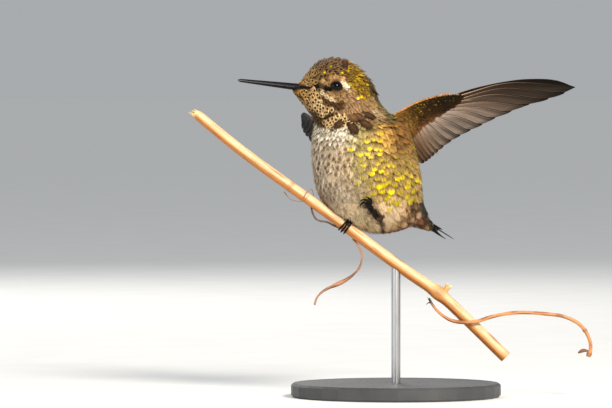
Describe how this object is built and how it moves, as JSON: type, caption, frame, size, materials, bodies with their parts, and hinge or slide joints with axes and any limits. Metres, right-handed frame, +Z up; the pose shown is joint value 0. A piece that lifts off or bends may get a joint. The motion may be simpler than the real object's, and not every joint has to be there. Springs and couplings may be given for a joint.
{
  "type": "hummingbird model on a display stand",
  "caption": "Life-size hummingbird gripping a slanting dry stem with both wings spread, held over a round base by a thin rod.",
  "frame": {"origin": "centre of the underside of the stand's base", "axes": "+Z up; +X to the side of the left wing's tip, with the bill towards -X; +Y away from the side the breast is turned to"},
  "size_m": [0.1143, 0.0985, 0.0968],
  "materials": {
    "plumage_head": "matt feathers",
    "plumage_breast": "downy feathers",
    "plumage_wing": "small glossy feathers",
    "flight_feathers": "satin feathers",
    "tail_feathers": "satin feathers",
    "bill_horn": "satin horn",
    "eye": "wet gloss",
    "leg_skin": "scaly, matt",
    "claw_horn": "satin horn",
    "dry_stem": "dry, satin",
    "stand_paint": "matt",
    "stand_steel": "brushed"
  },
  "bodies": {
    "root": {"head": "plumage_head", "neck": "plumage_head", "trunk": "plumage_breast", "rump": "plumage_breast", "leg_left_thigh": "plumage_breast", "leg_right_thigh": "plumage_breast", "bill_upper": "bill_horn", "bill_lower": "bill_horn", "eye_left": "eye", "eye_right": "eye", "wing_left_arm": "plumage_wing", "wing_left_secondaries": "flight_feathers", "wing_left_primaries": "flight_feathers", "wing_right_arm": "plumage_wing", "wing_right_secondaries": "flight_feathers", "wing_right_primaries": "flight_feathers", "tail": "tail_feathers", "foot_right": "leg_skin", "foot_left": "leg_skin", "perch_stem": "dry_stem", "perch_curl": "dry_stem", "perch_loop": "dry_stem", "perch_twig": "dry_stem", "stand_base": "stand_paint", "stand_rod": "stand_steel", "claw_right_inner": "claw_horn", "claw_right_middle": "claw_horn", "claw_right_outer": "claw_horn", "claw_right_rear": "claw_horn", "claw_left_inner": "claw_horn", "claw_left_middle": "claw_horn", "claw_left_outer": "claw_horn", "claw_left_rear": "claw_horn"}
  },
  "joints": []
}
